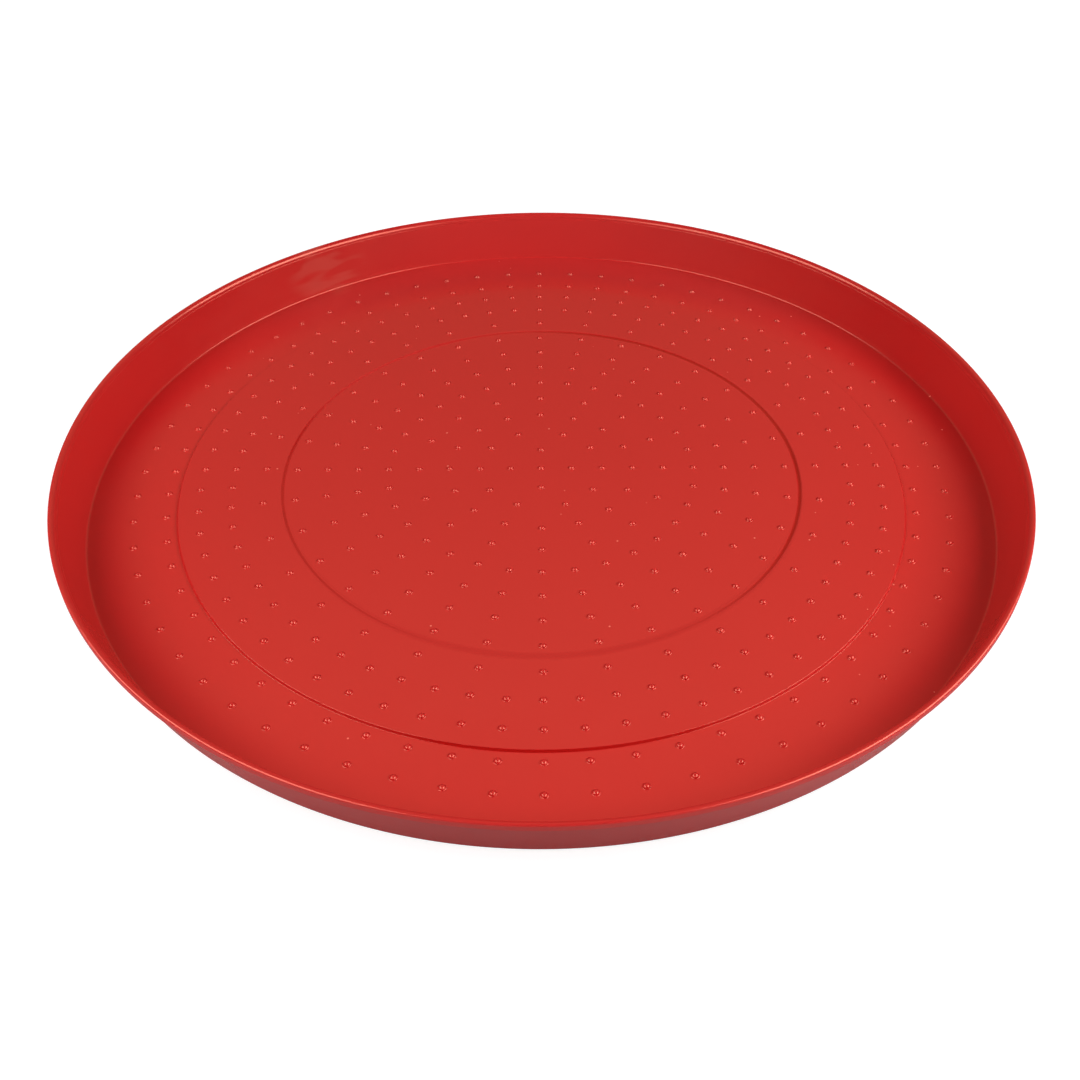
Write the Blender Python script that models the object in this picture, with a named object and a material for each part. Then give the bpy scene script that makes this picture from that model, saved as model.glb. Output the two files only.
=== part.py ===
"""Round poultry feed pan, moulded in one piece of red plastic.

Lengths are in metres, with +Z up. The pan stands on z = 0, and its axis is the Z axis.
The pan is one shell: a floor in three flat levels, each with rows of pimples that keep
chicks from slipping, and a leaning wall whose top edge bends out into a small lip with a
rounded top and a short upright outer face.
"""

import math

import bmesh
import bpy
from mathutils import Vector
from mathutils.geometry import delaunay_2d_cdt, intersect_line_line

# Overall size
RIM_RADIUS = 0.190
PAN_HEIGHT = 0.023
SHELL = 0.0015

# Wall and lip, measured on the inside of the shell
FLOOR_RADIUS = 0.1815
LIP_WIDTH = 0.0023
LIP_RISE = 0.0006
LIP_DEPTH = 0.0028
LIP_EDGE_FILLET = 0.0005
INSIDE_CORNER_FILLET = 0.0006
LIP_FILLET = 0.0026
BASE_FILLET = 0.0018

# Floor levels: a centre disc, a middle ring just above it, and an outer ring that the pan stands on
CENTRE_RADIUS = 0.1058
CENTRE_DROP = 0.0005
MIDDLE_RADIUS = 0.1470
MIDDLE_RISE = 0.0010
STEP_WIDTH = 0.0006
STEP_FILLET = 0.0004

# Low domed pimples: one in the middle, and rings around it, one pitch apart. Each ring shares
# out its pimples over evenly spaced spokes.
PIMPLE_PITCH = 0.0126
PIMPLE_RADIUS = 0.0015
PIMPLE_CROWN_RADIUS = 0.0008
PIMPLE_HEIGHT = 0.0010
PIMPLE_EDGE_GAP = 0.0008
PIMPLES_PER_RING = (1, 4, 10, 16, 16, 32, 32, 32, 32, 32, 64, 64, 64, 64)
FEWEST_SPOKES = 32

# Fineness of the facets
SEGMENTS = 64
CROWN_SIDES = 3
FILLET_STEPS = 2
LIP_STEPS = 3

# Look of the moulded plastic
PLASTIC_COLOUR = (0.56, 0.030, 0.024, 1.0)
PLASTIC_ROUGHNESS = 0.28
SHARP_ANGLE = math.radians(50)

# Heights of the floor's top faces
OUTER_TOP = SHELL
MIDDLE_TOP = OUTER_TOP + MIDDLE_RISE
CENTRE_TOP = MIDDLE_TOP - CENTRE_DROP


def meet(point_a, direction_a, point_b, direction_b):
    """Return the point where two straight lines in the section cross."""
    ends = (point_a, point_a + direction_a, point_b, point_b + direction_b)
    return intersect_line_line(*(end.to_3d() for end in ends))[0].to_2d()


def fillet(before, corner, after, radius, steps):
    """Return the points of the arc that rounds a corner of the section."""
    arm_in = (before - corner).normalized()
    arm_out = (after - corner).normalized()
    half_angle = arm_in.angle(arm_out) / 2
    setback = radius / math.tan(half_angle)
    centre = corner + (arm_in + arm_out).normalized() * (radius / math.sin(half_angle))
    start = (corner + arm_in * setback - centre).normalized()
    end = (corner + arm_out * setback - centre).normalized()
    return [centre + start.slerp(end, step / steps) * radius for step in range(steps + 1)]


def step_profile(radius, low_side, high_side):
    """Return the rounded step between two floor levels, from the axis outwards."""
    half = STEP_WIDTH / 2
    run_up = Vector((radius - 2 * STEP_WIDTH, low_side))
    foot = Vector((radius - half, low_side))
    head = Vector((radius + half, high_side))
    run_out = Vector((radius + 2 * STEP_WIDTH, high_side))
    return fillet(run_up, foot, head, STEP_FILLET, 1) + fillet(foot, head, run_out, STEP_FILLET, 1)


def wall_profile():
    """Return the section of the wall from the floor over the lip to the face it stands on."""
    corner = Vector((FLOOR_RADIUS, OUTER_TOP))
    crease = Vector((RIM_RADIUS - LIP_WIDTH, PAN_HEIGHT - LIP_RISE))
    wall = (crease - corner).normalized()
    outwards = Vector((wall.y, -wall.x))

    # The top of the lip ends in a round edge, and its outer face drops from there to a flat
    # underside.
    edge = SHELL / 2
    round_centre = Vector((RIM_RADIUS - edge, PAN_HEIGHT - edge))
    to_round = round_centre - crease
    slope = math.atan2(to_round.y, to_round.x) + math.asin(edge / to_round.length)
    # It has a point at its highest and at its outermost place, so that the sizes are whole.
    quarter = math.pi / 2
    turns = [slope + quarter, quarter, quarter / 2, 0.0]
    rim = [round_centre + edge * Vector((math.cos(turn), math.sin(turn))) for turn in turns]

    lip_foot = Vector((RIM_RADIUS, PAN_HEIGHT - LIP_DEPTH))
    outer_crease = meet(lip_foot, Vector((1, 0)), corner + outwards * SHELL, wall)
    base = meet(outer_crease, wall, Vector((0, 0)), Vector((1, 0)))
    axis_foot = Vector((0, 0))
    floor_centre = Vector((0, OUTER_TOP))
    return (
        fillet(floor_centre, corner, crease, INSIDE_CORNER_FILLET, FILLET_STEPS)
        + fillet(corner, crease, rim[0], LIP_FILLET, LIP_STEPS)
        + rim
        + fillet(rim[-1], lip_foot, outer_crease, LIP_EDGE_FILLET, 1)
        + [outer_crease]
        + fillet(outer_crease, base, axis_foot, BASE_FILLET, FILLET_STEPS)
    )


def circle(bm, centre_x, centre_y, z, radius, sides):
    """Add one ring of points and return them in order, anticlockwise from above."""
    turns = [2 * math.pi * side / sides for side in range(sides)]
    return [
        bm.verts.new((centre_x + radius * math.cos(turn), centre_y + radius * math.sin(turn), z))
        for turn in turns
    ]


def join_rings(bm, first, second):
    """Close the band between two rings with the same number of points."""
    for side in range(len(first)):
        after = (side + 1) % len(first)
        bm.faces.new((first[side], first[after], second[after], second[side]))


def turn_profile(bm, profile):
    """Turn a section about the Z axis and return its first and last rings."""
    rings = [circle(bm, 0, 0, z, radius, SEGMENTS) for radius, z in profile]
    for first, second in zip(rings, rings[1:]):
        join_rings(bm, first, second)
    return rings[0], rings[-1]


def pimple_centres(inner_radius, outer_radius):
    """Yield the centres of the pimples that fit on one floor level."""
    reach = PIMPLE_RADIUS + PIMPLE_EDGE_GAP
    for ring, count in enumerate(PIMPLES_PER_RING):
        radius = ring * PIMPLE_PITCH
        if radius + reach > outer_radius or (inner_radius and radius - reach < inner_radius):
            continue
        spokes = max(count, FEWEST_SPOKES)
        for number in range(count):
            turn = 2 * math.pi * round(number * spokes / count) / spokes
            yield radius * math.cos(turn), radius * math.sin(turn)


def raise_pimple(bm, base, crown):
    """Close a pimple whose base has two points for each point of its crown."""
    for side in range(len(crown)):
        after = (side + 1) % len(crown)
        left, middle, right = base[2 * side], base[2 * side + 1], base[2 * after]
        bm.faces.new((left, middle, crown[side]))
        bm.faces.new((middle, crown[after], crown[side]))
        bm.faces.new((middle, right, crown[after]))
    bm.faces.new(crown)


def floor_level(bm, outer_ring, inner_ring, z):
    """Fill one flat level of the floor and raise its pimples."""
    outer_radius = outer_ring[0].co.xy.length
    inner_radius = inner_ring[0].co.xy.length if inner_ring else 0
    centres = list(pimple_centres(inner_radius, outer_radius))
    bases = [circle(bm, x, y, z, PIMPLE_RADIUS, 2 * CROWN_SIDES) for x, y in centres]
    holes = bases + ([inner_ring] if inner_ring else [])

    points = []
    borders = []
    hole_of = []
    for number, loop in enumerate([outer_ring] + holes):
        first = len(points)
        points += loop
        borders += [(first + side, first + (side + 1) % len(loop)) for side in range(len(loop))]
        hole_of += [number] * len(loop)

    flat_points = [point.co.xy for point in points]
    _, _, triangles, sources, _, _ = delaunay_2d_cdt(flat_points, borders, [], 0, 1e-7)
    for triangle in triangles:
        corners = [sources[corner][0] for corner in triangle]
        touched = {hole_of[corner] for corner in corners}
        # Three corners on the edge of one hole span that hole, which stays open.
        if len(touched) > 1 or touched == {0}:
            bm.faces.new([points[corner] for corner in corners])

    for (x, y), base in zip(centres, bases):
        crown = circle(bm, x, y, z + PIMPLE_HEIGHT, PIMPLE_CROWN_RADIUS, CROWN_SIDES)
        raise_pimple(bm, base, crown)


def build_shell(bm):
    """Build the closed shell of the pan."""
    centre_edge, middle_inside = turn_profile(bm, step_profile(CENTRE_RADIUS, CENTRE_TOP, MIDDLE_TOP))
    middle_edge, outer_inside = turn_profile(bm, step_profile(MIDDLE_RADIUS, MIDDLE_TOP, OUTER_TOP))
    outer_edge, foot_outside = turn_profile(bm, wall_profile())

    floor_level(bm, centre_edge, None, CENTRE_TOP)
    floor_level(bm, middle_edge, middle_inside, MIDDLE_TOP)
    floor_level(bm, outer_edge, outer_inside, OUTER_TOP)

    # The underside follows the floor levels at the shell's thickness.
    half = STEP_WIDTH / 2
    underside = [
        (MIDDLE_RADIUS + half, OUTER_TOP - SHELL),
        (MIDDLE_RADIUS - half, MIDDLE_TOP - SHELL),
        (CENTRE_RADIUS + half, MIDDLE_TOP - SHELL),
        (CENTRE_RADIUS - half, CENTRE_TOP - SHELL),
    ]
    foot_inside, underside_centre = turn_profile(bm, underside)
    join_rings(bm, foot_outside, foot_inside)
    bm.faces.new(underside_centre)
    bmesh.ops.recalc_face_normals(bm, faces=bm.faces)


def plastic_material():
    """Return the glossy red plastic."""
    material = bpy.data.materials.new("red_plastic")
    material.use_nodes = True
    shader = material.node_tree.nodes["Principled BSDF"]
    shader.inputs["Base Color"].default_value = PLASTIC_COLOUR
    shader.inputs["Metallic"].default_value = 0.0
    shader.inputs["Roughness"].default_value = PLASTIC_ROUGHNESS
    material.diffuse_color = PLASTIC_COLOUR
    return material


def make_feed_pan():
    """Make the feed pan, the only piece."""
    mesh = bpy.data.meshes.new("feed_pan")
    bm = bmesh.new()
    build_shell(bm)
    bm.to_mesh(mesh)
    bm.free()
    mesh.materials.append(plastic_material())
    mesh.shade_smooth()
    mesh.set_sharp_from_angle(angle=SHARP_ANGLE)
    pan = bpy.data.objects.new("feed_pan", mesh)
    bpy.context.collection.objects.link(pan)
    # The flat floor levels keep their own normals beside the small fillets.
    pan.modifiers.new("flat_floor_shading", "WEIGHTED_NORMAL")


def clear_scene():
    """Remove the objects that the scene starts with."""
    for thing in list(bpy.data.objects):
        bpy.data.objects.remove(thing, do_unlink=True)


clear_scene()
make_feed_pan()
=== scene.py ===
"""Looks of the round poultry feed pan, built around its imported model.

Lengths are in metres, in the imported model's frame: +Z is up, the pan stands on z = 0 and its
axis is the Z axis. The file is laid out as an add-on and is run as a script.
"""

import math

import bpy
import numpy as np
from bpy.props import FloatProperty, FloatVectorProperty, IntProperty, PointerProperty
from mathutils import Matrix, Vector
from mathutils.geometry import delaunay_2d_cdt


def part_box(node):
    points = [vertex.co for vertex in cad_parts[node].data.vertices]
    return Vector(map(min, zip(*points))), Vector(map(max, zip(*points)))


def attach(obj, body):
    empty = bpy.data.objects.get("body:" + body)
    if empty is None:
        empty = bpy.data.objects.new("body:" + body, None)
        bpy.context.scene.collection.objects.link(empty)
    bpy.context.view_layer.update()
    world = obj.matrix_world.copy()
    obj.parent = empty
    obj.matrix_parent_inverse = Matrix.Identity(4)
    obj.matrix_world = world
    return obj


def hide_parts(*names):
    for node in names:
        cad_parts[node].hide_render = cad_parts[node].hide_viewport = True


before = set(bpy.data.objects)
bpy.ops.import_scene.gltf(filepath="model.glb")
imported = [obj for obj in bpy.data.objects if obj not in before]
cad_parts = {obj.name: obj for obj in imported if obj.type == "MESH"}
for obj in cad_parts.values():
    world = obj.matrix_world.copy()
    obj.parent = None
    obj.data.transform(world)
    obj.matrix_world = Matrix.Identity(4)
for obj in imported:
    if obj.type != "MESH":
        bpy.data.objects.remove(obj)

bl_info = {
    "name": "Round feed pan",
    "version": (1, 0, 0),
    "blender": (4, 5, 0),
    "location": "3D View > Sidebar > Feed pan",
    "description": "Builds a round moulded feed pan for chicks, with its studio",
    "category": "Add Mesh",
}

PAN_NODE = "feed_pan"
PAN_LOW, PAN_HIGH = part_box(PAN_NODE)

# One pimple in the middle, and the number of pimples on each ring around it.
PIMPLES_PER_RING = (1, 4, 10, 16, 16, 32, 32, 32, 32, 32, 64, 64, 64, 64)
FEWEST_SPOKES = 32

# Around the inner step, by turn in degrees: the groove's share of its full depth, which is also
# the strength of the painted shade in it, and how many step widths the ramp is wide.
INNER_GROOVE = (
    (0, 45, 75, 95, 115, 135, 150, 165, 200, 235, 250, 290, 302, 318, 335, 360),
    (1.0, 1.0, 0.9, 0.45, 0.1, 0.0, 0.15, 0.6, 0.6, 0.35, 0.0, 0.0, 0.2, 0.65, 1.0, 1.0),
)
INNER_RAMP = (
    (0, 20, 90, 120, 150, 170, 240, 330, 360),
    (2.0, 6.0, 6.0, 1.8, 1.8, 1.2, 7.0, 7.0, 2.0),
)
# Around the outer step, by turn in degrees: how strong the painted shade at its foot is.
OUTER_SHADE = (
    (0, 150, 200, 240, 258, 288, 304, 330, 360),
    (0.3, 0.3, 0.3, 0.3, 0.8, 0.7, 0.2, 0.3, 0.3),
)
# The outer step's rows that take the painted shade at the strength the table gives.
OUTER_SHADE_ROWS = slice(3, 6)

# How far each side of the inner step its soft section reaches, and the groove's place and width
# there: half its width is the narrow width plus its share of the full depth times the extra one.
INNER_STEP_REACH = 0.0022
GROOVE_OFFSET = 0.0001
GROOVE_NARROW = 0.00044
GROOVE_EXTRA = 0.00020

# Small roundings of the section, and the mould line's place below the bend into the lip.
OUTER_STEP_FILLET = 0.0002
UNDER_OUTER_STEP_FILLET = 0.0003
UNDER_INNER_STEP_FILLET = 0.0002
MOULD_LINE_DROP = 0.0019
MOULD_LINE_SLOPE = 0.00012
MOULD_LINE_FILLET = 0.00018
LIP_EDGE_FILLET = 0.0004
LIP_ROOT_FILLET = 0.0003
BASE_FILLET = 0.0018

# A pimple's cap as shares of the pimple's radius and height, its rows as shares of the cap's
# turn, and the foot's radius as a share of the pimple's.
CAP_RADIUS_SHARE = 0.77
CAP_HEIGHT_SHARE = 0.78
CAP_ROWS = (0.36, 0.70, 1.0)
FOOT_SHARE = 1.06
PIMPLE_SIDES = 12
PIMPLE_EDGE_GAP = 0.0008

# Colours laid over the plastic's plain one: painted shade at the floor's edge by the side walls,
# painted shade at the floor's edge at the back and on the back walls, a painted reflection on the
# wall at the back on the left, painted shade in the floor steps' grooves, and real dust with its
# roughness.
PAINTED_SIDE_SHADE_SHARE = 0.97
PAINTED_SIDE_SHADE_GREEN_BLUE = (0.007, 0.014)
PAINTED_BACK_FLOOR_SHADE = (0.500, 0.027, 0.030, 1.0)
PAINTED_BACK_WALL_SHADE = (0.535, 0.014, 0.017, 1.0)
PAINTED_REFLECTION_COLOUR = (0.545, 0.045, 0.042, 1.0)
PAINTED_GROOVE_SHADE_COLOUR = (0.40, 0.0, 0.0, 1.0)
DUST_COLOUR = (0.86, 0.19, 0.16, 1.0)
DUST_ROUGHNESS = 0.6

# How far the clean face's roughness strays from the chosen one.
ROUGHNESS_SPREAD = 0.018


class PanShape(bpy.types.PropertyGroup):
    """Sizes of the pan."""

    rim_radius: FloatProperty(
        name="Rim radius",
        description="From the axis to the outside of the rim",
        default=PAN_HIGH.x - 0.00001,
        unit="LENGTH",
        precision=4,
    )
    height: FloatProperty(
        name="Height",
        description="From the face that the pan stands on to the top of the rim",
        default=PAN_HIGH.z - 0.00001,
        unit="LENGTH",
        precision=4,
    )
    shell: FloatProperty(
        name="Shell",
        description="Thickness of the plastic",
        default=0.0015,
        unit="LENGTH",
        precision=4,
    )
    floor_radius: FloatProperty(
        name="Floor radius",
        description="From the axis to the corner between floor and wall",
        default=0.1815,
        unit="LENGTH",
        precision=4,
    )
    lip_width: FloatProperty(
        name="Lip width",
        description="How far the lip bends out beyond the wall",
        default=0.0023,
        unit="LENGTH",
        precision=4,
    )
    lip_rise: FloatProperty(
        name="Lip rise",
        description="How far the lip rises above the wall",
        default=0.0006,
        unit="LENGTH",
        precision=4,
    )
    lip_depth: FloatProperty(
        name="Lip depth",
        description="From the top of the rim down to the lip's underside",
        default=0.0028,
        unit="LENGTH",
        precision=4,
    )
    lip_fillet: FloatProperty(
        name="Lip fillet",
        description="Radius of the bend from the wall into the lip",
        default=0.0026,
        unit="LENGTH",
        precision=4,
    )
    corner_fillet: FloatProperty(
        name="Corner fillet",
        description="Radius of the round between floor and wall",
        default=0.0009,
        unit="LENGTH",
        precision=4,
    )
    mould_line: FloatProperty(
        name="Mould line",
        description="How far the wall steps back at the fine line below the lip",
        default=0.00010,
        unit="LENGTH",
        precision=5,
    )
    centre_radius: FloatProperty(
        name="Inner step radius",
        description="Radius of the step around the centre disc",
        default=0.1058,
        unit="LENGTH",
        precision=4,
    )
    middle_radius: FloatProperty(
        name="Outer step radius",
        description="Radius of the step around the middle ring",
        default=0.1470,
        unit="LENGTH",
        precision=4,
    )
    middle_rise: FloatProperty(
        name="Middle rise",
        description="How far the middle ring stands above the outer ring",
        default=0.0010,
        unit="LENGTH",
        precision=4,
    )
    centre_drop: FloatProperty(
        name="Centre drop",
        description="How far the centre disc lies below the middle ring",
        default=0.0005,
        unit="LENGTH",
        precision=4,
    )
    groove_depth: FloatProperty(
        name="Groove depth",
        description="How deep the groove at the foot of the inner step is on the right",
        default=0.0002,
        unit="LENGTH",
        precision=4,
    )
    step_width: FloatProperty(
        name="Step width",
        description="How wide each floor step's slope is",
        default=0.0006,
        unit="LENGTH",
        precision=4,
    )
    pimple_pitch: FloatProperty(
        name="Pimple pitch",
        description="Distance between one ring of pimples and the next",
        default=0.0126,
        unit="LENGTH",
        precision=4,
    )
    pimple_radius: FloatProperty(
        name="Pimple radius",
        description="Radius of a pimple's foot",
        default=0.0015,
        unit="LENGTH",
        precision=4,
    )
    pimple_height: FloatProperty(
        name="Pimple height",
        description="How far a pimple stands above the floor",
        default=0.0010,
        unit="LENGTH",
        precision=4,
    )
    segments: IntProperty(
        name="Segments",
        description="Faces around the pan",
        default=320,
        min=32,
    )


class PlasticLook(bpy.types.PropertyGroup):
    """Finish of the moulded plastic."""

    colour: FloatVectorProperty(
        name="Colour",
        description="Colour of the plastic",
        subtype="COLOR",
        size=4,
        default=(0.600, 0.0218, 0.0238, 1.0),
        min=0.0,
        max=1.0,
    )
    roughness: FloatProperty(
        name="Roughness",
        description="Roughness of the clean moulded face",
        subtype="FACTOR",
        default=0.25,
        min=0.0,
        max=1.0,
    )
    gloss_tint: FloatVectorProperty(
        name="Gloss tint",
        description="Colour of the highlights, which the plastic tints",
        subtype="COLOR",
        size=3,
        default=(1.0, 0.42, 0.36),
        min=0.0,
        max=1.0,
    )
    waviness: FloatProperty(
        name="Waviness",
        description="Depth of the soft waves left by cooling",
        default=0.00006,
        unit="LENGTH",
        precision=5,
    )


class StudioLook(bpy.types.PropertyGroup):
    """Light, floor and camera."""

    floor_colour: FloatVectorProperty(
        name="Floor colour",
        description="Colour of the table top",
        subtype="COLOR",
        size=4,
        default=(0.36, 0.38, 0.45, 1.0),
        min=0.0,
        max=1.0,
    )
    left_power: FloatProperty(
        name="Left softbox power",
        description="Power of the softbox on the left",
        default=5.85,
        unit="POWER",
    )
    right_power: FloatProperty(
        name="Right softbox power",
        description="Power of the softbox on the right",
        default=7.55,
        unit="POWER",
    )
    low_left_power: FloatProperty(
        name="Low left lamp power",
        description="Power of the low lamp on the left, which lights the outside of the wall",
        default=2.3,
        unit="POWER",
    )
    low_right_power: FloatProperty(
        name="Low right lamp power",
        description="Power of the low lamp on the right, which lights the outside of the wall",
        default=1.8,
        unit="POWER",
    )
    lamp_tint: FloatVectorProperty(
        name="Lamp tint",
        description="Colour of the lamps' slightly warm light",
        subtype="COLOR",
        size=3,
        default=(1.0, 0.95, 0.79),
        min=0.0,
        max=1.0,
    )
    room_light: FloatProperty(
        name="Room light",
        description="Strength of the dim light from all around",
        default=0.035,
        min=0.0,
    )
    lens: FloatProperty(
        name="Lens",
        description="Focal length of the camera",
        default=39.243,
        subtype="DISTANCE_CAMERA",
    )


# Section of the pan: rows of radius, height and the outward normal's two parts.


def unit(arrow):
    """Return an arrow scaled to length one."""
    return arrow / np.linalg.norm(arrow)


def arc(centre, radius, start, sweep, steps):
    """Return an arc of the section.

    Points are centre + radius * (cos t, sin t) while t turns evenly from start through sweep.
    The normal lies to the left of the way along the arc, which is outside the plastic.
    """
    turn = start + np.linspace(0.0, 1.0, steps + 1) * sweep
    spoke = np.column_stack((np.cos(turn), np.sin(turn)))
    side = -1.0 if sweep > 0 else 1.0
    return np.hstack((centre + radius * spoke, side * spoke))


def rounded(before, corner, after, radius, steps):
    """Return the arc that rounds a corner between two straight runs.

    The arc's centre lies on the corner's bisector, radius / sin(half the corner's angle) away,
    and the arc turns from the first run's touching point to the second's.
    """
    arm_in = unit(before - corner)
    arm_out = unit(after - corner)
    half = math.acos(float(np.clip(arm_in @ arm_out, -1.0, 1.0))) / 2
    centre = corner + unit(arm_in + arm_out) * radius / math.sin(half)
    first = corner + arm_in * radius / math.tan(half) - centre
    last = corner + arm_out * radius / math.tan(half) - centre
    sweep = math.atan2(first[0] * last[1] - first[1] * last[0], first @ last)
    return arc(centre, radius, math.atan2(first[1], first[0]), sweep, steps)


def crossing(point_a, way_a, point_b, way_b):
    """Return the point where two straight lines of the section cross."""
    along = np.linalg.solve(np.column_stack((way_a, -way_b)), point_b - point_a)
    return point_a + along[0] * way_a


def step_section(radius, height_in, height_out, width, fillet, inwards=False):
    """Return the rounded step between two flat faces at two heights.

    It is a straight slope of the given width with both its corners rounded.
    """
    near, far = (radius + width / 2, radius - width / 2) if inwards else (
        radius - width / 2,
        radius + width / 2,
    )
    reach = 2 * (far - near)
    run_in = np.array((near - reach, height_in))
    foot = np.array((near, height_in))
    head = np.array((far, height_out))
    run_out = np.array((far + reach, height_out))
    return np.vstack(
        (
            rounded(run_in, foot, head, fillet, 3),
            rounded(foot, head, run_out, fillet, 3),
        )
    )


def inner_step(shape, height_in, height_out, segments):
    """Return the points and normals of the step around the centre disc, and its groove's painted
    shade.

    Along the radius x, counted from the step, the height is the rise times a smooth ramp minus
    the groove's depth times exp(-((x + offset) / half its width) ** 4), and the painted shade is
    that same bell times the groove's share of its full depth. The ramp is short at the back on the
    left and soft elsewhere. The groove is deepest on the right, shallow on the left and runs out
    at the front.
    """
    turn = np.arange(segments) * 2 * math.pi / segments
    degrees = np.degrees(turn)
    shade = np.interp(degrees, INNER_GROOVE[0], INNER_GROOVE[1])
    width = np.interp(degrees, INNER_RAMP[0], INNER_RAMP[1]) * shape.step_width
    across = np.concatenate(
        (np.linspace(-1, -0.4, 5), np.linspace(-0.33, 0.25, 24), np.linspace(0.33, 1, 6))
    )[:, None] * INNER_STEP_REACH
    rise = np.clip(across / width + 0.5, 0, 1)
    rise = rise * rise * (3 - 2 * rise)
    half_width = GROOVE_NARROW + GROOVE_EXTRA * shade
    shade = shade * np.exp(-(((across + GROOVE_OFFSET) / half_width) ** 4))
    height = height_in + (height_out - height_in) * rise - shape.groove_depth * shade
    radius = np.broadcast_to(shape.centre_radius + across, height.shape)
    slope = np.gradient(height, across[:, 0], axis=0)
    slope[[0, -1]] = 0
    size = np.sqrt(1 + slope * slope)
    points = np.stack((radius * np.cos(turn), radius * np.sin(turn), height), axis=-1)
    normals = np.stack((-slope * np.cos(turn), -slope * np.sin(turn), np.ones_like(slope)), axis=-1)
    return points, normals / size[..., None], shade


def wall_section(shape):
    """Return the section from the floor up the wall, over the lip and down to the standing face."""
    shell = shape.shell
    corner = np.array((shape.floor_radius, shell))
    crease = np.array((shape.rim_radius - shape.lip_width, shape.height - shape.lip_rise))
    wall = unit(crease - corner)
    outwards = np.array((wall[1], -wall[0]))

    # The top of the lip ends in a round, and its outer face drops from there to the underside.
    edge = shell / 2
    round_centre = np.array((shape.rim_radius - edge, shape.height - edge))
    to_round = round_centre - crease
    slope = math.atan2(to_round[1], to_round[0]) + math.asin(edge / np.linalg.norm(to_round))
    rim = arc(round_centre, edge, slope + math.pi / 2, -slope - math.pi / 2, 10)
    lip_foot = np.array((shape.rim_radius, shape.height - shape.lip_depth))

    # A mould line runs around the wall just below the bend: the face steps back there.
    ledge_head = crease - wall * MOULD_LINE_DROP
    ledge_foot = ledge_head - wall * MOULD_LINE_SLOPE - outwards * shape.mould_line

    outer_crease = crossing(lip_foot, np.array((1.0, 0.0)), corner + outwards * shell, wall)
    base = crossing(outer_crease, wall, np.zeros(2), np.array((1.0, 0.0)))
    middle = np.array((0.0, shell))
    return np.vstack(
        (
            rounded(middle, corner, ledge_foot, shape.corner_fillet, 6),
            rounded(corner, ledge_foot, ledge_head, MOULD_LINE_FILLET, 3),
            rounded(ledge_foot, ledge_head, crease, MOULD_LINE_FILLET, 3),
            rounded(ledge_head, crease, rim[0, :2], shape.lip_fillet, 12),
            rim,
            rounded(rim[-1, :2], lip_foot, outer_crease, LIP_EDGE_FILLET, 4),
            rounded(lip_foot, outer_crease, base, LIP_ROOT_FILLET, 3),
            rounded(outer_crease, base, np.zeros(2), BASE_FILLET, 8),
        )
    )


def pimple_section(shape):
    """Return the section of one pimple from near its top out to its foot, about its own axis.

    A small concave skirt leaves the floor, and a spherical cap closes the pimple. The cap's
    radius is (a * a + h * h) / 2h for a cap h high on a circle of radius a.
    """
    cap = shape.pimple_radius * CAP_RADIUS_SHARE
    height = shape.pimple_height * CAP_HEIGHT_SHARE
    ball = (cap * cap + height * height) / (2 * height)
    foot_turn = math.asin(cap / ball)
    turn = np.array(CAP_ROWS) * foot_turn
    across = ball * np.sin(turn)
    up = shape.pimple_height - ball + ball * np.cos(turn)
    cap_rows = np.column_stack((across, up, np.sin(turn), np.cos(turn)))
    foot = np.array((shape.pimple_radius * FOOT_SHARE, 0.0, 0.0, 1.0))
    return np.vstack((cap_rows, foot))


# Surfaces


class Patchwork:
    """Points, normals and faces of one mesh, gathered patch by patch."""

    def __init__(self):
        self.points = np.zeros((0, 3))
        self.normals = np.zeros((0, 3))
        self.quads = np.zeros((0, 4), int)
        self.triangles = np.zeros((0, 3), int)

    def add_points(self, points, normals):
        """Add a grid of points and return the grid of their numbers."""
        first = len(self.points)
        self.points = np.vstack((self.points, points.reshape(-1, 3)))
        self.normals = np.vstack((self.normals, normals.reshape(-1, 3)))
        return first + np.arange(points.size // 3).reshape(points.shape[:-1])

    def add_bands(self, rings):
        """Close the bands between rings of point numbers, which lie along the last axis."""
        after = np.roll(rings, -1, axis=-1)
        inner, outer = rings[..., :-1, :], rings[..., 1:, :]
        inner_after, outer_after = after[..., :-1, :], after[..., 1:, :]
        faces = np.stack((inner, outer, outer_after, inner_after), axis=-1)
        self.quads = np.vstack((self.quads, faces.reshape(-1, 4)))

    def add_fans(self, rings, tips):
        """Close each ring of point numbers with triangles that meet at its tip."""
        after = np.roll(rings, -1, axis=-1)
        tips = np.broadcast_to(tips[..., None], rings.shape)
        faces = np.stack((rings, tips, after), axis=-1)
        self.triangles = np.vstack((self.triangles, faces.reshape(-1, 3)))


def turned(section, segments):
    """Turn a section about the Z axis.

    For row (r, z) and turn t the point is (r cos t, r sin t, z), and its normal turns with it.
    """
    turn = np.arange(segments) * 2 * math.pi / segments
    radius, height, across, up = (column[:, None] for column in section.T)
    flat = np.ones(segments)
    points = np.stack((radius * np.cos(turn), radius * np.sin(turn), height * flat), axis=-1)
    normals = np.stack((across * np.cos(turn), across * np.sin(turn), up * flat), axis=-1)
    return points, normals


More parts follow.
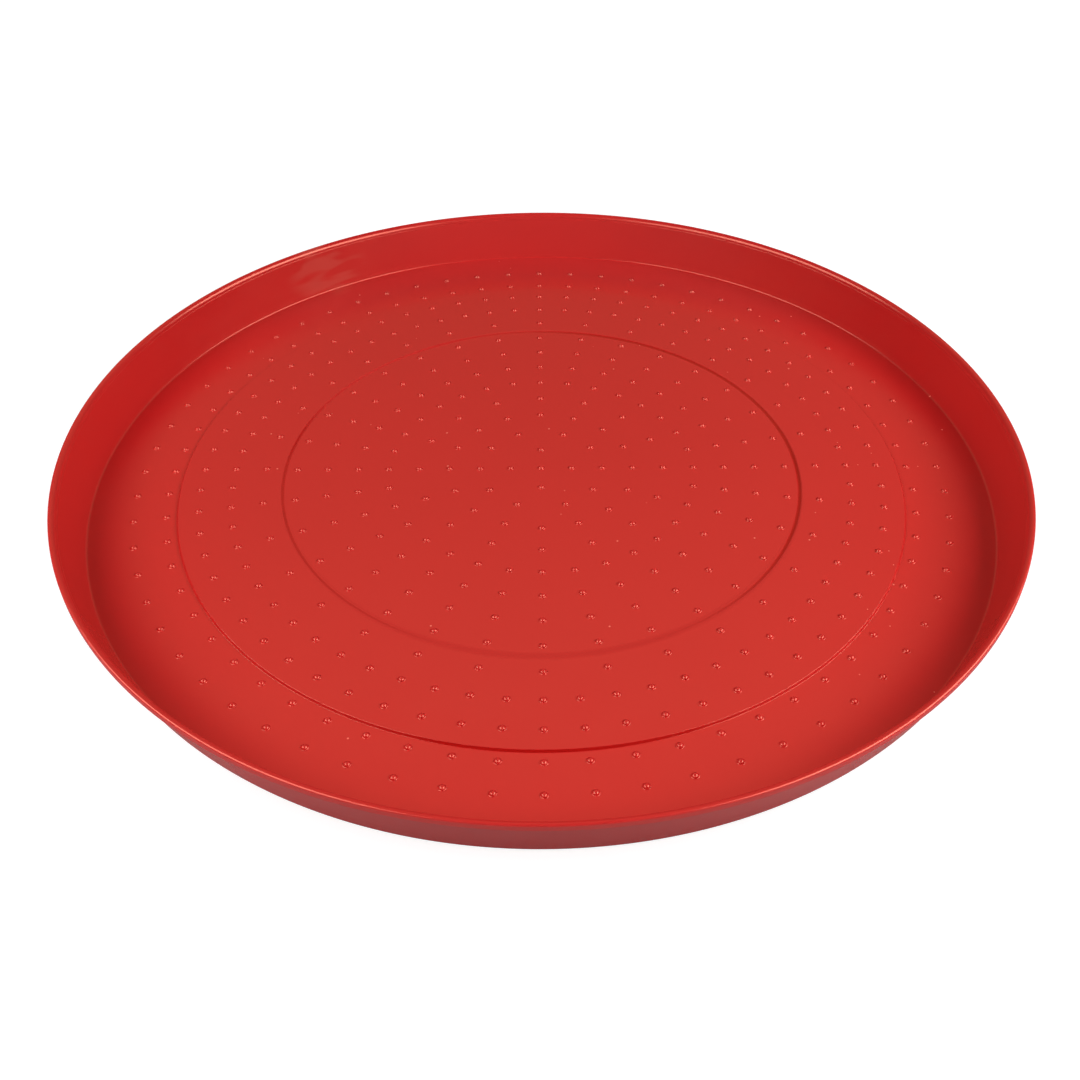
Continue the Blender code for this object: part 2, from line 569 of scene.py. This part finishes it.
def pimple_centres(shape, inner_radius, outer_radius):
    """Return the centres of the pimples that fit on one floor level.

    Ring k has radius k times the pitch, and its pimples share out evenly spaced spokes: pimple
    n of m stands on the spoke nearest to n / m of a full turn.
    """
    reach = shape.pimple_radius + PIMPLE_EDGE_GAP
    ring = np.repeat(np.arange(len(PIMPLES_PER_RING)), PIMPLES_PER_RING)
    count = np.array(PIMPLES_PER_RING)[ring]
    number = np.concatenate([np.arange(many) for many in PIMPLES_PER_RING])
    spokes = np.maximum(count, FEWEST_SPOKES)
    turn = 2 * math.pi * np.round(number * spokes / count) / spokes
    radius = ring * shape.pimple_pitch
    clear_inside = (inner_radius == 0) | (radius - reach >= inner_radius)
    fits = (radius + reach <= outer_radius) & clear_inside
    return np.column_stack((radius * np.cos(turn), radius * np.sin(turn)))[fits]


def floor_level(work, shape, height, outer_ring, inner_ring):
    """Fill one flat level of the floor between its edge rings and raise its pimples.

    Each pimple is its section turned about its own centre, and the flat between the pimples'
    feet and the edge rings is a triangulation that keeps all those rings as borders.
    """
    outer_radius = np.linalg.norm(work.points[outer_ring[0], :2])
    inner_radius = np.linalg.norm(work.points[inner_ring[0], :2]) if inner_ring is not None else 0
    centres = pimple_centres(shape, inner_radius, outer_radius)
    points, normals = turned(pimple_section(shape), PIMPLE_SIDES)
    feet = np.column_stack((centres, np.full(len(centres), height)))
    grid = points[None] + feet[:, None, None]
    domes = work.add_points(grid, np.broadcast_to(normals, grid.shape))
    tips = work.add_points(
        feet + np.array((0.0, 0.0, shape.pimple_height)),
        np.tile((0.0, 0.0, 1.0), (len(centres), 1)),
    )
    work.add_bands(domes)
    work.add_fans(domes[:, 0, ::-1], tips)

    rings = [outer_ring] + ([] if inner_ring is None else [inner_ring]) + list(domes[:, -1])
    number = np.concatenate(rings)
    ring_of = np.repeat(np.arange(len(rings)), [len(ring) for ring in rings])
    following = np.concatenate([np.roll(ring, -1) for ring in rings])
    place = np.full(len(work.points), -1)
    place[number] = np.arange(len(number))
    borders = np.column_stack((place[number], place[following]))
    flat = [Vector(point) for point in work.points[number, :2]]
    _, _, faces, sources, _, _ = delaunay_2d_cdt(flat, borders.tolist(), [], 0, 1e-9)
    source = np.array([found[0] for found in sources])
    corners = source[np.array(faces)]
    touched = ring_of[corners]
    # Three corners on the edge of one hole span that hole, which stays open.
    in_hole = (touched == touched[:, :1]).all(axis=1) & (touched[:, 0] > 0)
    work.triangles = np.vstack((work.triangles, number[corners[~in_hole]]))


def pan_mesh(shape):
    """Return the mesh of the whole pan, one closed shell."""
    work = Patchwork()
    segments = shape.segments
    outer_top = shape.shell
    middle_top = outer_top + shape.middle_rise
    centre_top = middle_top - shape.centre_drop
    width = shape.step_width

    outer_step = step_section(
        shape.middle_radius, middle_top, outer_top, width, OUTER_STEP_FILLET
    )
    points, normals, shade = inner_step(shape, centre_top, middle_top, segments)
    inner = work.add_points(points, normals)
    outer = work.add_points(*turned(outer_step, segments))

    # The underside follows the floor levels at the shell's thickness, in to the axis.
    under = [
        step_section(
            shape.middle_radius,
            0.0,
            shape.middle_rise,
            width,
            UNDER_OUTER_STEP_FILLET,
            inwards=True,
        ),
        step_section(
            shape.centre_radius,
            shape.middle_rise,
            centre_top - shape.shell,
            width,
            UNDER_INNER_STEP_FILLET,
            inwards=True,
        ),
    ]
    wall = work.add_points(*turned(np.vstack([wall_section(shape)] + under), segments))
    axis = work.add_points(
        np.array([[0.0, 0.0, centre_top - shape.shell]]), np.array([[0.0, 0.0, -1.0]])
    )
    for rings in (inner, outer, wall):
        work.add_bands(rings)
    work.add_fans(wall[-1], axis[0])

    floor_level(work, shape, centre_top, inner[0], None)
    floor_level(work, shape, middle_top, outer[0], inner[-1])
    floor_level(work, shape, outer_top, wall[0], outer[-1])

    mesh = bpy.data.meshes.new("moulded_pan")
    mesh.from_pydata(work.points, [], work.quads.tolist() + work.triangles.tolist())
    mesh.update()
    mesh.shade_smooth()
    mesh.normals_split_custom_set_from_vertices(work.normals)
    # Painted shade, kept on the points: in the groove of the inner step and at the outer step's
    # foot.
    degrees = np.arange(segments) * 360 / segments
    values = np.zeros(len(work.points), np.float32)
    values[inner] = shade
    values[outer[OUTER_SHADE_ROWS]] = np.interp(degrees, OUTER_SHADE[0], OUTER_SHADE[1])
    mesh.attributes.new("groove_shade", "FLOAT", "POINT").data.foreach_set("value", values)
    return mesh


# Materials


def node_group(name, inputs, outputs):
    """Return an empty shader node group with named inputs and outputs, and its two end nodes."""
    tree = bpy.data.node_groups.new(name, "ShaderNodeTree")
    for socket, kind, value in inputs:
        made = tree.interface.new_socket(name=socket, in_out="INPUT", socket_type=kind)
        if value is not None:
            made.default_value = value
    for socket, kind in outputs:
        tree.interface.new_socket(name=socket, in_out="OUTPUT", socket_type=kind)
    start = tree.nodes.new("NodeGroupInput")
    end = tree.nodes.new("NodeGroupOutput")
    return tree, start, end


def add_node(tree, kind, settings=None, values=None, links=None):
    """Add a node, set its options and values, and link outputs into its inputs."""
    node = tree.nodes.new(kind)
    for key, value in (settings or {}).items():
        setattr(node, key, value)
    for key, value in (values or {}).items():
        node.inputs[key].default_value = value
    for key, source in (links or {}).items():
        tree.links.new(source, node.inputs[key])
    return node


def waves_group():
    """Return the soft waves that cooling leaves in a moulded sheet, as a height."""
    tree, start, end = node_group(
        "cooling_waves",
        [("Vector", "NodeSocketVector", None), ("Wave Size", "NodeSocketFloat", 0.05)],
        [("Height", "NodeSocketFloat")],
    )
    per_metre = add_node(
        tree, "ShaderNodeMath", {"operation": "DIVIDE"}, {0: 1.0}, {1: start.outputs["Wave Size"]}
    )
    noise = add_node(
        tree,
        "ShaderNodeTexNoise",
        {},
        {"Detail": 1.5, "Roughness": 0.35},
        {"Vector": start.outputs["Vector"], "Scale": per_metre.outputs[0]},
    )
    tree.links.new(noise.outputs["Fac"], end.inputs["Height"])
    return tree


def ramp(tree, value, start, end, low=0.0, high=1.0):
    """Return a smooth ramp of a value from low at start to high at end."""
    return add_node(
        tree,
        "ShaderNodeMapRange",
        {"interpolation_type": "SMOOTHSTEP"},
        {"From Min": start, "From Max": end, "To Min": low, "To Max": high},
        {"Value": value},
    ).outputs["Result"]


def product(tree, *values):
    """Return the product of several values."""
    total = values[0]
    for value in values[1:]:
        total = add_node(
            tree, "ShaderNodeMath", {"operation": "MULTIPLY"}, {}, {0: total, 1: value}
        ).outputs[0]
    return total


def blend(tree, mask, under, over):
    """Return a varying colour with a plain one laid over it where a mask is high."""
    return add_node(
        tree, "ShaderNodeMix", {"data_type": "RGBA"}, {7: over}, {0: mask, 6: under}
    ).outputs[2]


def painted_corner_shade_group():
    """Return painted shade masks: the floor's edge at the sides and at the back, and the back
    walls.
    """
    tree, start, end = node_group(
        "painted_corner_shade",
        [("Vector", "NodeSocketVector", None)],
        [("Sides", "NodeSocketFloat"), ("Back", "NodeSocketFloat"), ("Walls", "NodeSocketFloat")],
    )
    parts = add_node(tree, "ShaderNodeSeparateXYZ", {}, {}, {0: start.outputs["Vector"]})
    flat = add_node(
        tree, "ShaderNodeCombineXYZ", {}, {}, {0: parts.outputs["X"], 1: parts.outputs["Y"]}
    )
    radius = add_node(
        tree, "ShaderNodeVectorMath", {"operation": "LENGTH"}, {}, {0: flat.outputs[0]}
    )
    aside = add_node(tree, "ShaderNodeMath", {"operation": "ABSOLUTE"}, {}, {0: parts.outputs["X"]})
    inside = ramp(tree, radius.outputs["Value"], 0.1804, 0.1814, 1.0, 0.0)
    low = ramp(tree, parts.outputs["Z"], 0.003, 0.008, 1.0, 0.0)
    sides = product(
        tree,
        ramp(tree, radius.outputs["Value"], 0.162, 0.177),
        ramp(tree, aside.outputs[0], 0.04, 0.13),
        ramp(tree, parts.outputs["Y"], 0.03, 0.10, 1.0, 0.0),
        inside,
        low,
    )
    back = product(
        tree,
        ramp(tree, radius.outputs["Value"], 0.148, 0.164),
        ramp(tree, parts.outputs["Y"], 0.08, 0.15),
        inside,
        low,
    )
    walls = product(
        tree,
        ramp(tree, radius.outputs["Value"], 0.1812, 0.1825),
        ramp(tree, aside.outputs[0], 0.03, 0.09),
        ramp(tree, parts.outputs["Y"], 0.03, 0.10),
    )
    tree.links.new(walls, end.inputs["Walls"])
    tree.links.new(sides, end.inputs["Sides"])
    tree.links.new(back, end.inputs["Back"])
    return tree


def painted_reflection_group():
    """Return a mask of a painted reflection: long soft pale streaks in a round area around a place.
    """
    tree, start, end = node_group(
        "soft_painted_reflection",
        [
            ("Vector", "NodeSocketVector", None),
            ("Middle", "NodeSocketVector", (0.0, 0.0, 0.0)),
            ("Reach", "NodeSocketFloat", 0.03),
        ],
        [("Mask", "NodeSocketFloat")],
    )
    away = add_node(
        tree,
        "ShaderNodeVectorMath",
        {"operation": "DISTANCE"},
        {},
        {0: start.outputs["Vector"], 1: start.outputs["Middle"]},
    )
    share = add_node(
        tree,
        "ShaderNodeMath",
        {"operation": "DIVIDE"},
        {},
        {0: away.outputs["Value"], 1: start.outputs["Reach"]},
    )
    long = add_node(
        tree,
        "ShaderNodeVectorMath",
        {"operation": "MULTIPLY"},
        {1: (40.0, 40.0, 170.0)},
        {0: start.outputs["Vector"]},
    )
    noise = add_node(
        tree, "ShaderNodeTexNoise", {}, {"Scale": 1.0, "Detail": 1.0}, {"Vector": long.outputs[0]}
    )
    mask = product(
        tree,
        ramp(tree, share.outputs[0], 0.45, 1.0, 1.0, 0.0),
        ramp(tree, noise.outputs["Fac"], 0.45, 0.58),
    )
    tree.links.new(mask, end.inputs["Mask"])
    return tree


def specks_group():
    """Return a mask of small round specks of dust that lie on the floor.

    In cells of a given size a speck sits at the cell's own point, in a chosen share of the
    cells, and only between the given heights.
    """
    tree, start, end = node_group(
        "dust_specks",
        [
            ("Vector", "NodeSocketVector", None),
            ("Cells Per Metre", "NodeSocketFloat", 45.0),
            ("Speck Size", "NodeSocketFloat", 0.0004),
            ("Share", "NodeSocketFloat", 0.3),
        ],
        [("Mask", "NodeSocketFloat")],
    )
    cells = add_node(
        tree,
        "ShaderNodeTexVoronoi",
        {"voronoi_dimensions": "2D"},
        {},
        {"Vector": start.outputs["Vector"], "Scale": start.outputs["Cells Per Metre"]},
    )
    reach = product(tree, start.outputs["Speck Size"], start.outputs["Cells Per Metre"])
    share = add_node(
        tree,
        "ShaderNodeMath",
        {"operation": "DIVIDE"},
        {},
        {0: cells.outputs["Distance"], 1: reach},
    )
    chosen = add_node(
        tree,
        "ShaderNodeMath",
        {"operation": "LESS_THAN"},
        {},
        {0: cells.outputs["Color"], 1: start.outputs["Share"]},
    )
    parts = add_node(tree, "ShaderNodeSeparateXYZ", {}, {}, {0: start.outputs["Vector"]})
    height = parts.outputs["Z"]
    mask = product(
        tree,
        ramp(tree, share.outputs[0], 0.6, 1.0, 1.0, 0.0),
        chosen.outputs[0],
        ramp(tree, height, 0.0010, 0.0014),
        ramp(tree, height, 0.004, 0.005, 1.0, 0.0),
    )
    tree.links.new(mask, end.inputs["Mask"])
    return tree


def plastic_material(look):
    """Return the glossy red moulded plastic."""
    material = bpy.data.materials.new("glossy_red_plastic")
    material.use_nodes = True
    tree = material.node_tree
    shader = tree.nodes["Principled BSDF"]
    shader.inputs["Roughness"].default_value = look.roughness
    shader.inputs["IOR"].default_value = 1.7
    shader.inputs["Specular IOR Level"].default_value = 1.0
    shader.inputs["Specular Tint"].default_value = (*look.gloss_tint, 1.0)
    coordinates = add_node(tree, "ShaderNodeTexCoord")
    place = coordinates.outputs["Object"]

    swirl = add_node(
        tree, "ShaderNodeTexNoise", {}, {"Scale": 14.0, "Detail": 3.0}, {"Vector": place}
    )
    deep = [channel * 0.95 for channel in look.colour[:3]] + [1.0]
    tint = add_node(
        tree,
        "ShaderNodeMix",
        {"data_type": "RGBA"},
        {6: deep, 7: look.colour},
        {0: swirl.outputs["Fac"]},
    )
    # Masks of painted shade at the floor's edges and on the back walls.
    corner = add_node(tree, "ShaderNodeGroup", {"node_tree": painted_corner_shade_group()}, {}, {"Vector": place})
    # Painted shade: deeper red at the floor's edge by the side walls, where their shadow falls.
    painted_side_shade = (look.colour[0] * PAINTED_SIDE_SHADE_SHARE, *PAINTED_SIDE_SHADE_GREEN_BLUE, 1.0)
    colour = blend(tree, corner.outputs["Sides"], tint.outputs[2], painted_side_shade)
    # Painted shade: darker and a little paler at the floor's edge at the back.
    colour = blend(tree, corner.outputs["Back"], colour, PAINTED_BACK_FLOOR_SHADE)
    # Painted shade: darker on the back walls.
    colour = blend(tree, corner.outputs["Walls"], colour, PAINTED_BACK_WALL_SHADE)
    # A painted reflection: pale streaks on the wall at the back on the left.
    painted_reflection = add_node(
        tree,
        "ShaderNodeGroup",
        {"node_tree": painted_reflection_group()},
        {"Middle": (-0.108, 0.151, 0.013), "Reach": 0.025},
        {"Vector": place},
    )
    colour = blend(tree, painted_reflection.outputs["Mask"], colour, PAINTED_REFLECTION_COLOUR)
    # Painted shade: darker colour in the inner step's groove and at the outer step's foot.
    groove = add_node(tree, "ShaderNodeAttribute", {"attribute_name": "groove_shade"})
    colour = blend(tree, groove.outputs["Fac"], colour, PAINTED_GROOVE_SHADE_COLOUR)

    specks = specks_group()
    large = add_node(
        tree,
        "ShaderNodeGroup",
        {"node_tree": specks},
        {"Cells Per Metre": 42.0, "Speck Size": 0.00042, "Share": 0.22},
        {"Vector": place},
    )
    small = add_node(
        tree,
        "ShaderNodeGroup",
        {"node_tree": specks},
        {"Cells Per Metre": 130.0, "Speck Size": 0.00026, "Share": 0.16},
        {"Vector": place},
    )
    patches = add_node(
        tree, "ShaderNodeTexNoise", {}, {"Scale": 11.0, "Detail": 1.0}, {"Vector": place}
    )
    clustered = product(
        tree, small.outputs["Mask"], ramp(tree, patches.outputs["Fac"], 0.52, 0.60)
    )
    dust = add_node(
        tree,
        "ShaderNodeMath",
        {"operation": "MAXIMUM"},
        {},
        {0: large.outputs["Mask"], 1: clustered},
    )
    colour = blend(tree, dust.outputs[0], colour, DUST_COLOUR)
    tree.links.new(colour, shader.inputs["Base Color"])

    grain = add_node(
        tree, "ShaderNodeTexNoise", {}, {"Scale": 60.0, "Detail": 2.0}, {"Vector": place}
    )
    smoother = look.roughness - ROUGHNESS_SPREAD
    rougher = look.roughness + ROUGHNESS_SPREAD
    finish = ramp(tree, grain.outputs["Fac"], 0.3, 0.7, smoother, rougher)
    rough = add_node(
        tree,
        "ShaderNodeMix",
        {"data_type": "FLOAT"},
        {3: DUST_ROUGHNESS},
        {0: dust.outputs[0], 2: finish},
    )
    tree.links.new(rough.outputs[0], shader.inputs["Roughness"])

    waves = add_node(
        tree,
        "ShaderNodeGroup",
        {"node_tree": waves_group()},
        {"Wave Size": 0.05},
        {"Vector": place},
    )
    bump = add_node(
        tree,
        "ShaderNodeBump",
        {},
        {"Strength": 1.0, "Distance": look.waviness},
        {"Height": waves.outputs["Height"]},
    )
    tree.links.new(bump.outputs["Normal"], shader.inputs["Normal"])
    material.diffuse_color = look.colour
    return material


def floor_material(look):
    """Return the pale table top, which the camera sees as white away from the pan's shadow."""
    material = bpy.data.materials.new("pale_table_top")
    material.use_nodes = True
    tree = material.node_tree
    shader = tree.nodes["Principled BSDF"]
    output = tree.nodes["Material Output"]
    shader.inputs["Roughness"].default_value = 0.9
    shader.inputs["Specular IOR Level"].default_value = 0.0
    shader.inputs["Base Color"].default_value = look.floor_colour

    # Away from the pan the camera sees the table brighten to plain white.
    place = add_node(tree, "ShaderNodeTexCoord").outputs["Object"]
    distance = add_node(tree, "ShaderNodeVectorMath", {"operation": "LENGTH"}, {}, {0: place})
    whiten = add_node(
        tree,
        "ShaderNodeMapRange",
        {"interpolation_type": "SMOOTHSTEP"},
        {"From Min": 0.2, "From Max": 0.8, "To Min": 0.78, "To Max": 0.98},
        {"Value": distance.outputs["Value"]},
    )
    path = add_node(tree, "ShaderNodeLightPath")
    strength = add_node(
        tree,
        "ShaderNodeMath",
        {"operation": "MULTIPLY"},
        {},
        {0: whiten.outputs["Result"], 1: path.outputs["Is Camera Ray"]},
    )
    white = add_node(tree, "ShaderNodeEmission", {}, {}, {"Strength": strength.outputs[0]})
    both = add_node(
        tree, "ShaderNodeAddShader", {}, {}, {0: shader.outputs[0], 1: white.outputs[0]}
    )
    below = add_node(tree, "ShaderNodeNewGeometry")
    clear = add_node(tree, "ShaderNodeBsdfTransparent")
    mix = add_node(
        tree,
        "ShaderNodeMixShader",
        {},
        {},
        {0: below.outputs["Backfacing"], 1: both.outputs[0], 2: clear.outputs[0]},
    )
    tree.links.new(mix.outputs[0], output.inputs["Surface"])
    return material


def card_material(name, low, high, colour, reach):
    """Return a dim glowing card, brighter towards its top, which the camera sees as white.

    The glow rises from the low to the high strength between 0.7 m and 1.4 m above the table, and
    fades towards the sides beyond the given reach.
    """
    material = bpy.data.materials.new(name)
    material.use_nodes = True
    tree = material.node_tree
    tree.nodes.remove(tree.nodes["Principled BSDF"])
    place = add_node(tree, "ShaderNodeTexCoord").outputs["Object"]
    parts = add_node(tree, "ShaderNodeSeparateXYZ", {}, {}, {0: place})
    aside = add_node(tree, "ShaderNodeMath", {"operation": "ABSOLUTE"}, {}, {0: parts.outputs["X"]})
    strength = product(
        tree,
        ramp(tree, parts.outputs["Z"], 0.7, 1.4, low, high),
        ramp(tree, aside.outputs[0], reach, reach + 0.25, 1.0, 0.2),
    )
    path = add_node(tree, "ShaderNodeLightPath")
    glow = add_node(tree, "ShaderNodeEmission", {}, {"Color": colour}, {"Strength": strength})
    white = add_node(tree, "ShaderNodeEmission", {}, {"Strength": 1.0})
    mix = add_node(
        tree,
        "ShaderNodeMixShader",
        {},
        {},
        {0: path.outputs["Is Camera Ray"], 1: glow.outputs[0], 2: white.outputs[0]},
    )
    tree.links.new(mix.outputs[0], tree.nodes["Material Output"].inputs["Surface"])
    return material


# Studio


def show(name, data):
    """Put new data into the scene as an object at the origin."""
    made = bpy.data.objects.new(name, data)
    bpy.context.scene.collection.objects.link(made)
    return made


def card(name, corner, side_a, side_b, material):
    """Return a flat rectangular stage piece from a corner and its two sides."""
    corner, side_a, side_b = (Vector(given) for given in (corner, side_a, side_b))
    mesh = bpy.data.meshes.new(name)
    places = [corner, corner + side_a, corner + side_a + side_b, corner + side_b]
    mesh.from_pydata(places, [], [(0, 1, 2, 3)])
    mesh.materials.append(material)
    made = show(name, mesh)
    return made


def softbox(name, turn, rise, distance, size, power, tint):
    """Return a soft rectangular lamp that faces the pan from a turn and a rise in degrees."""
    turn, rise = math.radians(turn), math.radians(rise)
    spoke = Vector(
        (math.cos(rise) * math.cos(turn), math.cos(rise) * math.sin(turn), math.sin(rise))
    )
    lamp = bpy.data.lights.new(name, "AREA")
    lamp.shape = "RECTANGLE"
    lamp.size, lamp.size_y = size
    lamp.energy = power
    lamp.color = tint
    made = show(name, lamp)
    made.location = spoke * distance
    made.rotation_mode = "QUATERNION"
    made.rotation_quaternion = (-spoke).to_track_quat("-Z", "Y")
    made.visible_camera = False
    return made


def studio_camera(look):
    """Return the camera, which looks down on the pan from the front."""
    place = Vector((-0.0014, -0.38459, 0.30341))
    aim = Vector((-0.0007, -0.04485, 0.002))
    roll = math.radians(0.289)
    ahead = (aim - place).normalized()
    right = ahead.cross(Vector((0, 0, 1))).normalized()
    up = right.cross(ahead)
    turned_right = right * math.cos(roll) - up * math.sin(roll)
    turned_up = right * math.sin(roll) + up * math.cos(roll)
    data = bpy.data.cameras.new("studio_camera")
    data.lens = look.lens
    data.sensor_width = 36.0
    made = show("studio_camera", data)
    made.location = place
    made.rotation_mode = "QUATERNION"
    axes = Matrix((turned_right, turned_up, -ahead)).transposed()
    made.rotation_quaternion = axes.to_quaternion()
    return made


def room_light(scene, strength):
    """Light the room dimly from all around, white where the camera looks past everything."""
    world = bpy.data.worlds.new("studio_room")
    world.use_nodes = True
    tree = world.node_tree
    dim = tree.nodes["Background"]
    dim.inputs["Color"].default_value = (1.0, 1.0, 1.0, 1.0)
    dim.inputs["Strength"].default_value = strength
    white = add_node(tree, "ShaderNodeBackground", {}, {"Color": (1, 1, 1, 1), "Strength": 1.0})
    path = add_node(tree, "ShaderNodeLightPath")
    mix = add_node(
        tree,
        "ShaderNodeMixShader",
        {},
        {},
        {0: path.outputs["Is Camera Ray"], 1: dim.outputs[0], 2: white.outputs[0]},
    )
    tree.links.new(mix.outputs[0], tree.nodes["World Output"].inputs["Surface"])
    scene.world = world


class MakeFeedPan(bpy.types.Operator):
    """Make the moulded pan with its stepped, pimpled floor and flared lip"""

    bl_idname = "mesh.make_feed_pan"
    bl_label = "Make feed pan"

    def execute(self, context):
        """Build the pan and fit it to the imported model."""
        scene = context.scene
        pan = show("moulded_feed_pan", pan_mesh(scene.feed_pan_shape))
        pan.data.materials.append(plastic_material(scene.feed_pan_plastic))
        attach(pan, "root")
        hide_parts(PAN_NODE)
        return {"FINISHED"}


class MakeStudio(bpy.types.Operator):
    """Make the pale table, the soft lamps and the camera"""

    bl_idname = "scene.make_feed_pan_studio"
    bl_label = "Make studio"

    def execute(self, context):
        """Build everything that isn't part of the pan."""
        scene = context.scene
        look = scene.feed_pan_studio
        scene.view_settings.view_transform = "Standard"
        card("table_top", (-4, -4, -0.0002), (8, 0, 0), (0, 8, 0), floor_material(look))
        back = card_material("pale_backdrop", 0.20, 0.45, (1.0, 0.94, 0.62, 1.0), 0.54)
        card("backdrop", (-1.1, 1.0, 0.25), (2.2, 0, 0), (0, 0, 1.6), back)
        front = card_material("dim_front_card", 0.22, 0.22, (0.95, 0.97, 1.0, 1.0), 1.5)
        card("front_card", (-1.5, -1.1, 0.0), (2.8, 0, 0), (0, 0, 0.30), front)
        for name, turn, rise, size, power in (
            ("softbox_left", 201.0, 41.0, (0.94, 0.43), look.left_power),
            ("softbox_right", -16.0, 38.0, (0.94, 0.43), look.right_power),
            ("low_lamp_left", 198.0, 1.1, (0.60, 0.028), look.low_left_power),
            ("low_lamp_right", -20.0, 1.1, (0.60, 0.028), look.low_right_power),
        ):
            lamp = softbox(name, turn, rise, 0.85, size, power, look.lamp_tint)
            lamp.visible_glossy = rise > 20
        room_light(scene, look.room_light)
        scene.camera = studio_camera(look)
        return {"FINISHED"}


class FeedPanPanel(bpy.types.Panel):
    """Sizes, finish and studio of the feed pan"""

    bl_idname = "VIEW3D_PT_feed_pan"
    bl_label = "Feed pan"
    bl_space_type = "VIEW_3D"
    bl_region_type = "UI"
    bl_category = "Feed pan"

    def draw(self, context):
        """List every setting above the buttons that use it."""
        scene = context.scene
        for settings, operator in (
            (scene.feed_pan_shape, None),
            (scene.feed_pan_plastic, MakeFeedPan),
            (scene.feed_pan_studio, MakeStudio),
        ):
            column = self.layout.column(align=True)
            for key in settings.__annotations__:
                column.prop(settings, key)
            if operator:
                column.operator(operator.bl_idname)


CLASSES = (PanShape, PlasticLook, StudioLook, MakeFeedPan, MakeStudio, FeedPanPanel)
SETTINGS = {
    "feed_pan_shape": PanShape,
    "feed_pan_plastic": PlasticLook,
    "feed_pan_studio": StudioLook,
}


def register():
    """Register the classes and give each scene its settings."""
    for kind in CLASSES:
        bpy.utils.register_class(kind)
    for name, kind in SETTINGS.items():
        setattr(bpy.types.Scene, name, PointerProperty(type=kind))


def unregister():
    """Take away what register added."""
    for name in SETTINGS:
        delattr(bpy.types.Scene, name)
    for kind in reversed(CLASSES):
        bpy.utils.unregister_class(kind)


def main():
    """Build the scene."""
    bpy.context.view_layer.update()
    register()
    bpy.ops.mesh.make_feed_pan()
    bpy.ops.scene.make_feed_pan_studio()


if __name__ == "__main__":
    main()
